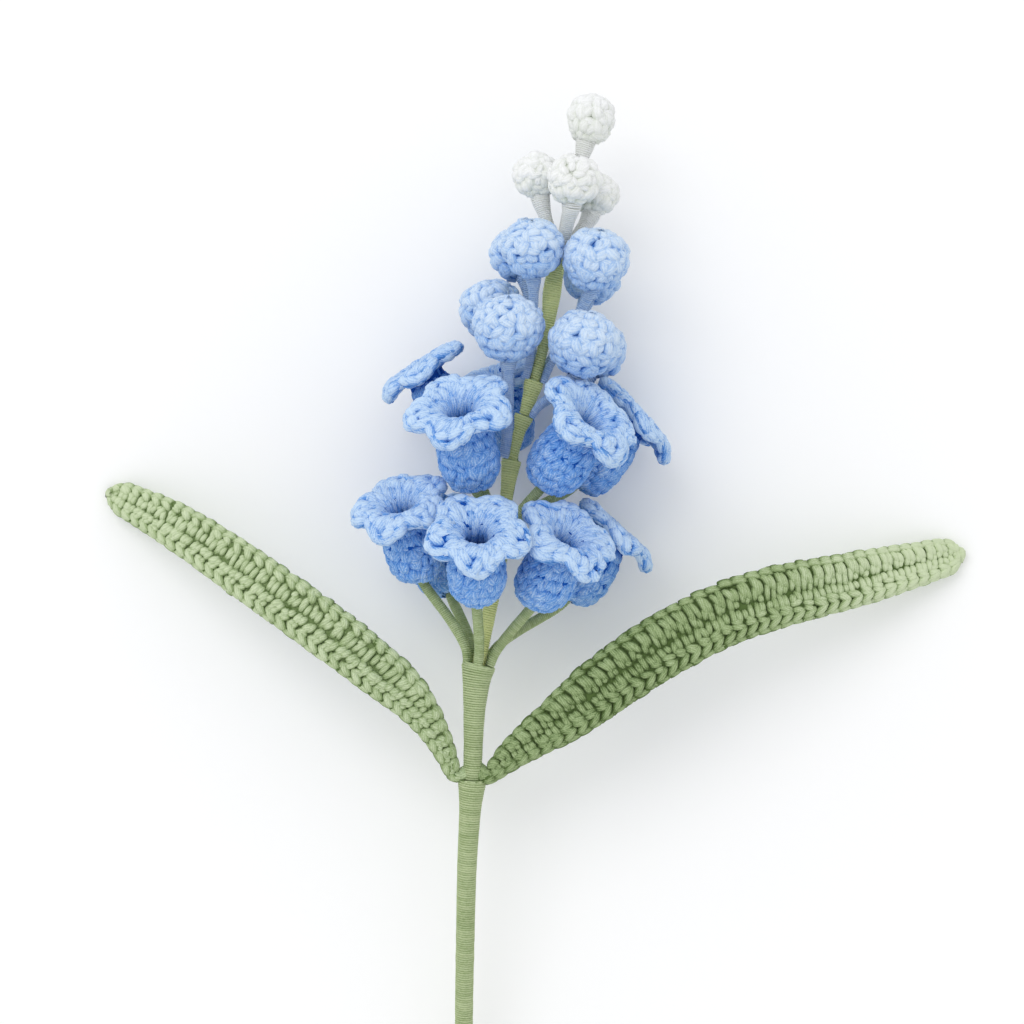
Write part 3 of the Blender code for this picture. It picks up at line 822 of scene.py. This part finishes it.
def lay_winding(work, tube, length, pitch, thread, shade):
    """One thread wound closely round a tube from end to end. Lengths are in millimetres."""
    start, end = -OVERHANG, length + OVERHANG
    count = max(4, int((end - start) / pitch * TURN_STATIONS))
    along = np.linspace(start, end, count)
    slack = drifting(work.chance, count, SLACK_WIDE)
    patches = drifting(work.chance, count, PATCH_WIDE)
    points, out = tube.at(along / pitch, along)
    middles = points + out * ((SLACK_LIFT * slack[:, None] - thread * THREAD_SUNK) * MM)
    one = np.ones((1, count))
    tone = np.clip(0.5 + SLACK_TONE * slack + PATCH_TONE * patches, 0, 1)[None]
    lay_tubes(work, middles[None], out[None], one * thread * MM, one, tone, one * shade, sides=THREAD_SIDES)


def wind(node, slot, centres, radii, pitch, thread, shade, seed, yarn=None):
    work = Work(seed)
    tube, length = tube_cloth(centres, radii)
    lay_winding(work, tube, length, pitch, thread, shade)
    levels = np.linspace(0, length, max(6, int(length / CORE_STEP)))
    turn, along = np.meshgrid(np.arange(CORE_TURNS) / CORE_TURNS, levels)
    points, out = tube.at(turn, along)
    lay_skin(work, points - out * thread * MM, shade, standing=0.4)
    work.finished(node, slot, yarn)


# %% The flowers' wires
WIRE_PITCH, WIRE_THREAD, THREAD_OVER = 0.52, 0.31, 0.1
PALE_SHADE, WIRE_SHADE = 0.35, 0.42
FLARE, FLARE_LENGTH, WIRE_STATIONS = 0.9, 3.2, 40
slots = {part["node"]: part["material_slot"] for part in frame["record"]["subparts"]}


def wind_wire(flower, seed):
    """Winds a flower's wire from its root. A bud's wire flares where it meets the bud."""
    wire = wire_of(flower)
    foot, _, rings = places[flower]
    rings = rings[::-1]
    middles = np.array([ring.mean(axis=0) for ring in rings])
    apart = [np.linalg.norm(ring - middle, axis=1).mean() for ring, middle in zip(rings, middles)]
    widths = [width / MM + THREAD_OVER for width in apart]
    shares = np.linspace(0, 1, WIRE_STATIONS)
    centres = smooth_line(middles, shares)
    radii = np.interp(shares, np.linspace(0, 1, len(widths)), widths)
    if flower in buds:
        from_foot = np.linalg.norm(centres - foot, axis=1) / MM
        radii = radii + FLARE * np.exp(-((from_foot / FLARE_LENGTH) ** 2))
    shade = PALE_SHADE if slots[wire] == "pale_blue_yarn" else WIRE_SHADE
    wind(wire, slots[wire], centres, radii, WIRE_PITCH, WIRE_THREAD, shade, seed)


for number, flower in enumerate(bells + buds):
    wind_wire(flower, seed=300 + number)
print("Wires wound:", len(bells + buds))

# %% The stalk's line
STALK_CORNERS, STALK_STATIONS = 6, 900
cut_end = np.array([middle_of("stalk_wrap_lower")[0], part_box("stalk_wire")[0][1], 0.0])
stalk_rings = rings_from("stalk_wire", cut_end, STALK_CORNERS)
stalk_line = smooth_line([ring.mean(axis=0) for ring in stalk_rings], np.linspace(0, 1, STALK_STATIONS))
print("The stalk's wire is this long, in mm:", round(way_along(stalk_line)[-1] / MM, 1))

# %% Winding the stalk
WRAP_PITCH, WRAP_THREAD, WRAP_SHADE, WRAP_INSIDE = 0.6, 0.35, 0.5, 1.25
SPIKE_FLARE, SPIKE_PAINTED_LIGHT = 0.55, 0.7
MOST_STATIONS, SMOOTHED = 40, 5


def wrap_radii(wrap):
    """The stations of the stalk's line that a winding covers, and its radius at each in millimetres."""
    corners, _ = corners_and_faces(wrap)
    apart = np.linalg.norm(corners[:, None] - stalk_line[None], axis=2)
    nearest, distance = apart.argmin(axis=1), apart.min(axis=1) / MM
    outside = distance > WRAP_INSIDE
    nearest, distance = nearest[outside], distance[outside]
    stations = np.arange(nearest.min(), nearest.max() + 1)
    order = np.argsort(nearest)
    radii = np.interp(stations, nearest[order], distance[order])
    radii = np.pad(radii, SMOOTHED // 2, "edge")
    return stations, np.convolve(radii, np.ones(SMOOTHED) / SMOOTHED, "valid")


def wind_stage(wrap, seed):
    """Winds one stage of the stalk. Those in the spike are painted lighter, with a lighter copy of the
    stalk's yarn, against the shade from the flowers around them, and they flare less than their solids.
    """
    stations, radii = wrap_radii(wrap)
    shade, yarn = WRAP_SHADE, None
    if wrap.startswith("spike"):
        radii = radii.min() + SPIKE_FLARE * (radii - radii.min())
        shade, yarn = SPIKE_PAINTED_LIGHT, spike_yarn_painted_lighter
    step = slice(None, None, max(1, len(stations) // MOST_STATIONS))
    centres = stalk_line[stations][step]
    wind(wrap, "stalk_yarn", centres, radii[step], WRAP_PITCH, WRAP_THREAD, shade, seed, yarn)


wraps = sorted(node for node in frame["nodes"] if "wrap" in node)
for number, wrap in enumerate(wraps):
    wind_stage(wrap, seed=400 + number)
print("Stalk wound in", len(wraps), "stages")

# %% [markdown]
# ## The leaves
#
# A leaf is two rows of long stitches worked out from a starting chain, which is the groove down its middle. A
# braid of plump slanting legs finishes its lower edge, a rope its upper edge, and a strand or two lie across
# each end. The left leaf's lower row bulges beside the groove, and the right leaf's upper row slants in thick
# pairs. The foot of a leaf is caught under the stalk's winding, so it is drawn in to the stalk. The underside
# has the same rows, with fewer strands along its edges.

# %% Cross-sections of a leaf
LEAF_CORNERS, TUCKED_AT = 8, 2.0
FOOT_RISES = (0.0, 3.0, 1.2, 1.2)


def leaf_sections(name):
    """The lower edge, upper edge, back and front of a leaf's cross-sections, from the stalk to the tip."""
    corners, _ = corners_and_faces(name)
    from_stalk = np.linalg.norm(corners[:, None] - stalk_line[None], axis=2).min(axis=1)
    sections = []
    for ring in rings_from(name, corners[from_stalk.argmin()], LEAF_CORNERS):
        apart = np.linalg.norm(ring[:, None] - ring[None], axis=2)
        widest = np.unravel_index(apart.argmax(), apart.shape)
        lower, upper = sorted((ring[corner] for corner in widest), key=lambda corner: corner @ STALK_UP)
        across = unit(upper - lower)
        off_middle = np.abs((ring - (upper + lower) / 2) @ across)
        back, front = sorted(ring[np.argsort(off_middle)[:2]], key=lambda corner: corner[2])
        sections.append((lower, upper, back, front))
    return [np.array(part) for part in zip(*sections)]


def tucked(lower, upper, back, front):
    """The same lines with one more cross-section, narrow and close to the stalk's middle."""
    foot = (back[0] + front[0]) / 2
    to_stalk = stalk_line[np.linalg.norm(stalk_line - foot, axis=1).argmin()] - foot
    tuck = to_stalk * (1 - TUCKED_AT * MM / np.linalg.norm(to_stalk)) - STALK_UP * MM
    return [np.concatenate([part[:1] + tuck + rise * STALK_UP * MM, part])
            for part, rise in zip((lower, upper, back, front), FOOT_RISES)]


# %% The cloth of a leaf
# The edges leave room for half a strand, but for no more than a share of the leaf's half width.
EDGE_STRAND, EDGE_SHARE, WIDE_SECTION, LENS = 0.5, 0.35, 5, 6


def leaf_cloths(name):
    """A leaf's front and back cloths, and its length in millimetres."""
    lower, upper, back, front = tucked(*leaf_sections(name))
    middle = (back + front) / 2
    widths = [np.linalg.norm(edge - middle, axis=1, keepdims=True) for edge in (lower, upper)]
    lower, upper = (edge - (edge - middle) * np.minimum(EDGE_STRAND * MM / width, EDGE_SHARE)
                    for edge, width in zip((lower, upper), widths))
    way = way_along(middle) / MM
    share = np.linspace(0, 1, len(middle))
    facing = np.cross(middle[-1] - middle[0], upper[WIDE_SECTION] - lower[WIDE_SECTION])
    handed = 1.0 if facing[2] > 0 else -1.0

    def cloth(side):
        def surface(along, across):
            place = np.interp(along, way, share)
            low, high, mid, top = (smooth_line(part, place) for part in (lower, upper, middle, front))
            outward = np.where((across < 0)[..., None], mid - low, high - mid)
            thick = (top - mid) * (1 - np.clip(np.abs(across), 0, 1) ** LENS)[..., None]
            return mid + outward * across[..., None] + side * thick
        return Cloth(surface, handed * side)

    return cloth(1.0), cloth(-1.0), way[-1]


# %% Leaf stitches
LEAF_PITCH = 3.4
ROPE = [
    ([(0.62, 0.84, 0.2), (0.2, 0.92, 0.9), (-0.2, 0.98, 0.9), (-0.62, 0.92, 0.5)], 1.0, 0.5, 0.95),
    ([(0.5, 1.02, 0.8), (0.15, 0.98, 0.8), (-0.2, 0.98, 0.8), (-0.5, 1.02, 0.8)], 0.9, 0.5, 0.95),
]
BRAID = [
    ([(0.62, -0.6, 0.1), (0.25, -0.74, 1.1), (-0.25, -0.9, 1.1), (-0.72, -1.0, 0.5)], 1.12, 0.4, 0.95),
    ([(0.6, -1.02, 0.8), (0.2, -0.98, 0.8), (-0.2, -0.98, 0.8), (-0.6, -1.03, 0.8)], 0.95, 0.5, 0.95),
]
END = [
    ([(0.0, -1.0, 0.2), (0.5, -0.4, 0.7), (0.5, 0.4, 0.7), (0.0, 1.0, 0.2)], 1.1, 0.6, 0.95),
    ([(-0.6, -0.9, 0.2), (-0.3, -0.4, 0.7), (-0.3, 0.4, 0.7), (-0.6, 0.9, 0.2)], 1.1, 0.6, 0.95),
]
LEFT_ROWS = [
    ([(0.52, -0.78, 0.0), (0.35, -0.66, 0.6), (0.15, -0.54, 0.7), (-0.02, -0.4, 0.3)], 0.86, 0.6, 0.95),
    ([(0.12, -0.78, 0.0), (-0.02, -0.66, 0.6), (-0.16, -0.54, 0.7), (-0.32, -0.42, 0.3)], 0.86, 0.6, 0.95),
    ([(0.28, -0.48, 0.1), (0.16, -0.38, 0.95), (0.0, -0.28, 0.95), (-0.06, -0.14, 0.0)], 1.4, 0.6, 0.95),
    ([(-0.14, -0.48, 0.1), (-0.26, -0.38, 0.85), (-0.38, -0.26, 0.85), (-0.42, -0.12, 0.0)], 1.1, 0.6, 0.95),
    ([(0.3, -0.1, -0.1), (0.24, 0.08, 0.65), (0.12, 0.38, 0.65), (0.0, 0.66, 0.1)], 1.1, 0.6, 0.95),
    ([(-0.1, -0.1, -0.1), (-0.18, 0.06, 0.55), (-0.26, 0.3, 0.55), (-0.32, 0.5, 0.0)], 0.96, 0.6, 0.95),
    ([(0.36, 0.3, 0.0), (0.3, 0.4, 0.5), (0.2, 0.5, 0.5), (0.14, 0.62, 0.0)], 0.84, 0.6, 0.95),
    ([(0.42, 0.84, 0.1), (0.15, 0.86, 0.9), (-0.22, 0.74, 0.9), (-0.38, 0.48, 0.1)], 1.3, 0.55, 0.95),
]
RIGHT_ROWS = [
    ([(-0.34, 0.86, 0.1), (-0.1, 0.82, 1.0), (0.08, 0.5, 0.9), (0.18, 0.16, 0.1)], 1.1, 0.6, 0.95),
    ([(0.04, 0.84, 0.1), (0.24, 0.76, 1.0), (0.4, 0.46, 0.9), (0.5, 0.16, 0.1)], 1.1, 0.6, 0.95),
    ([(-0.1, 0.52, 0.0), (-0.12, 0.4, 0.6), (-0.1, 0.2, 0.6), (-0.08, 0.02, 0.0)], 1, 0.6, 0.95),
    ([(0.24, 0.28, 0.0), (0.28, 0.2, 0.6), (0.3, 0.1, 0.6), (0.32, 0.0, 0.0)], 0.96, 0.6, 0.95),
    ([(-0.24, 0.0, -0.1), (-0.22, -0.14, 0.65), (-0.18, -0.28, 0.65), (-0.14, -0.46, 0.1)], 1.1, 0.6, 0.95),
    ([(0.24, 0.0, -0.1), (0.26, -0.14, 0.65), (0.28, -0.28, 0.65), (0.32, -0.46, 0.1)], 1.1, 0.6, 0.95),
    ([(-0.45, -0.36, 0.0), (-0.12, -0.42, 0.85), (0.2, -0.48, 0.85), (0.48, -0.5, 0.0)], 1, 0.6, 0.95),
    ([(-0.42, -0.54, 0.0), (-0.1, -0.58, 0.85), (0.2, -0.64, 0.85), (0.44, -0.72, 0.0)], 1.1, 0.6, 0.95),
]
print("Strands in a leaf's stitch:", len(LEFT_ROWS))

# %% Working a leaf
ROW_LOOSE, EDGE_LOOSE, END_LOOSE = 0.8, 0.25, 0.3
FOOT_STRAND_AT, TIP_STRAND_AT, LAST_STITCH = 0.7, 1.1, 1.4
TIP_PAINTED_LIGHT, TIP_FROM, TIP_OVER = 0.25, 4.0, 3.0
GROOVE_PAINTED_SHADE, GROOVE_WIDTH = 0.12, 0.14
SKIN_ACROSS, SKIN_DEPTH = [-0.96, -0.6, -0.2, 0.2, 0.6, 0.96], 0.6
SKIN_FROM_FOOT, SKIN_FROM_TIP, SKIN_LEVELS = 0.2, 1.0, 50


def leaf_skin(front, back, length):
    """Rings round the inside of a leaf, a little below both of its cloths."""
    alongs = np.linspace(SKIN_FROM_FOOT, length - SKIN_FROM_TIP, SKIN_LEVELS)
    along, across = np.meshgrid(alongs, SKIN_ACROSS, indexing="ij")
    top, top_out = front.at(along, across)
    under, under_out = back.at(along, across)
    depth = SKIN_DEPTH * (1 - np.abs(across) ** LENS)[..., None] * MM
    return np.concatenate([top - top_out * depth, (under - under_out * depth)[:, ::-1]], axis=1)


def work_leaf(name, rows, painted_shades_along, seed):
    """The list of shades gives painted shade and light along the leaf, from its foot to its tip."""
    work = Work(seed)
    front, back, length = leaf_cloths(name)

    def leaf_painted_shade(along, across):
        # Painted shade and light: darker towards the foot, lighter towards the tip and over its last
        # millimetres, and darker along the middle groove.
        tone = np.interp(along / length, np.linspace(0, 1, len(painted_shades_along)), painted_shades_along)
        tip = TIP_PAINTED_LIGHT * np.clip((along - length + TIP_FROM) / TIP_OVER, 0, 1)
        return tone + tip - GROOVE_PAINTED_SHADE * np.exp(-((np.abs(across) / GROOVE_WIDTH) ** 2))

    count = int(length / LEAF_PITCH)
    alongs = (np.arange(count) + 0.5) * (length - LAST_STITCH) / count
    at_ends = [FOOT_STRAND_AT, length - TIP_STRAND_AT]
    for cloth, edges, ends in ((front, BRAID + ROPE, END), (back, BRAID[:1] + ROPE[:1], END[1:])):
        lay_stitches(work, cloth, alongs, 0.0, LEAF_PITCH, 1.0, rows, leaf_painted_shade, ROW_LOOSE)
        lay_stitches(work, cloth, alongs, 0.0, LEAF_PITCH, 1.0, edges, leaf_painted_shade, EDGE_LOOSE)
        lay_stitches(work, cloth, at_ends, 0.0, 1.0, 1.0, ends, leaf_painted_shade, END_LOOSE)
    lay_skin(work, leaf_skin(front, back, length), painted_shades_along[1], standing=0.35)
    work.finished(name, "leaf_yarn")


work_leaf("leaf_left", LEFT_ROWS, [0.3, 0.42, 0.5, 0.62], seed=501)
work_leaf("leaf_right", RIGHT_ROWS, [0.04, -0.04, 0.3, 1.1], seed=502)
print("Leaves worked, triangles:", counts["leaf_left"], counts["leaf_right"])

# %% [markdown]
# ## The stalk's wire
#
# At the cut end a millimetre of the galvanised wire stands bare, dull grey with fine drawing marks.

# %% Wire finish
steel = Finish("galvanised_wire", Metallic=1.0, Roughness=0.42)
steel.feed("Base Color", steel.blend(steel.noise(700.0), srgb(150, 152, 156), srgb(186, 188, 190)))
wire = frame["nodes"]["stalk_wire"]
wire.data.materials.clear()
wire.data.materials.append(steel.material)

# %% [markdown]
# ## Table, light and camera
#
# The flower lies on a plain pale table under a wide soft light from its upper left, and it is looked at from
# straight above. The table shows as pure white, but it reflects a little less than it gets, so that soft
# shadows are left around the flower.

# %% Table
TABLE_HALF = 3.0
SEEN_WHITE, LIT_WHITE = (1.0, 1.0, 1.0, 1.0), (0.93, 0.93, 0.93, 1.0)
pale = Finish("pale_table", Roughness=0.9, Specular_IOR_Level=0.1)
from_camera = pale.node("ShaderNodeLightPath")("Is Camera Ray")
pale.feed("Base Color", pale.blend(from_camera, LIT_WHITE, SEEN_WHITE))
table_mesh = bpy.data.meshes.new("table")
table_corners = [(x * TABLE_HALF, y * TABLE_HALF, 0) for x, y in ((-1, -1), (1, -1), (1, 1), (-1, 1))]
table_mesh.from_pydata(table_corners, [], [(0, 1, 2, 3)])
table_mesh.materials.append(pale.material)
table = bpy.data.objects.new("table", table_mesh)
bpy.context.scene.collection.objects.link(table)
table.location.z = float(plain_low[2])
table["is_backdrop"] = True

# %% Light
ROOM_COLOUR, ROOM_STRENGTH = (0.985, 0.99, 1.0, 1.0), 0.89
WINDOW_AT, WINDOW_SIZE, WINDOW_POWER = (-0.9, 1.2, 1.9), 1.6, 12.0
scene = bpy.context.scene
room = bpy.data.worlds.new("soft_room")
room.use_nodes = True
background = room.node_tree.nodes["Background"]
background.inputs["Color"].default_value = ROOM_COLOUR
background.inputs["Strength"].default_value = ROOM_STRENGTH
scene.world = room
lamp = bpy.data.lights.new("window", "AREA")
lamp.shape, lamp.size, lamp.energy = "DISK", WINDOW_SIZE, WINDOW_POWER
window = bpy.data.objects.new("window", lamp)
scene.collection.objects.link(window)
window.location = WINDOW_AT
towards_flower = Vector((plain_low + plain_high) / 2) - Vector(WINDOW_AT)
window.rotation_euler = towards_flower.to_track_quat("-Z", "Y").to_euler()

# %% Camera
CAMERA_AT = (-6.154 * MM, 61.70 * MM, 739.0 * MM)
camera = bpy.data.cameras.new("camera")
camera.lens, camera.sensor_width = 100, 36
camera.clip_start, camera.clip_end = 0.05, 20
camera_object = bpy.data.objects.new("camera", camera)
scene.collection.objects.link(camera_object)
camera_object.location = CAMERA_AT
scene.camera = camera_object
scene.view_settings.view_transform = "Standard"

# %% Sizes and the end
print("Triangles in all:", sum(counts.values()))
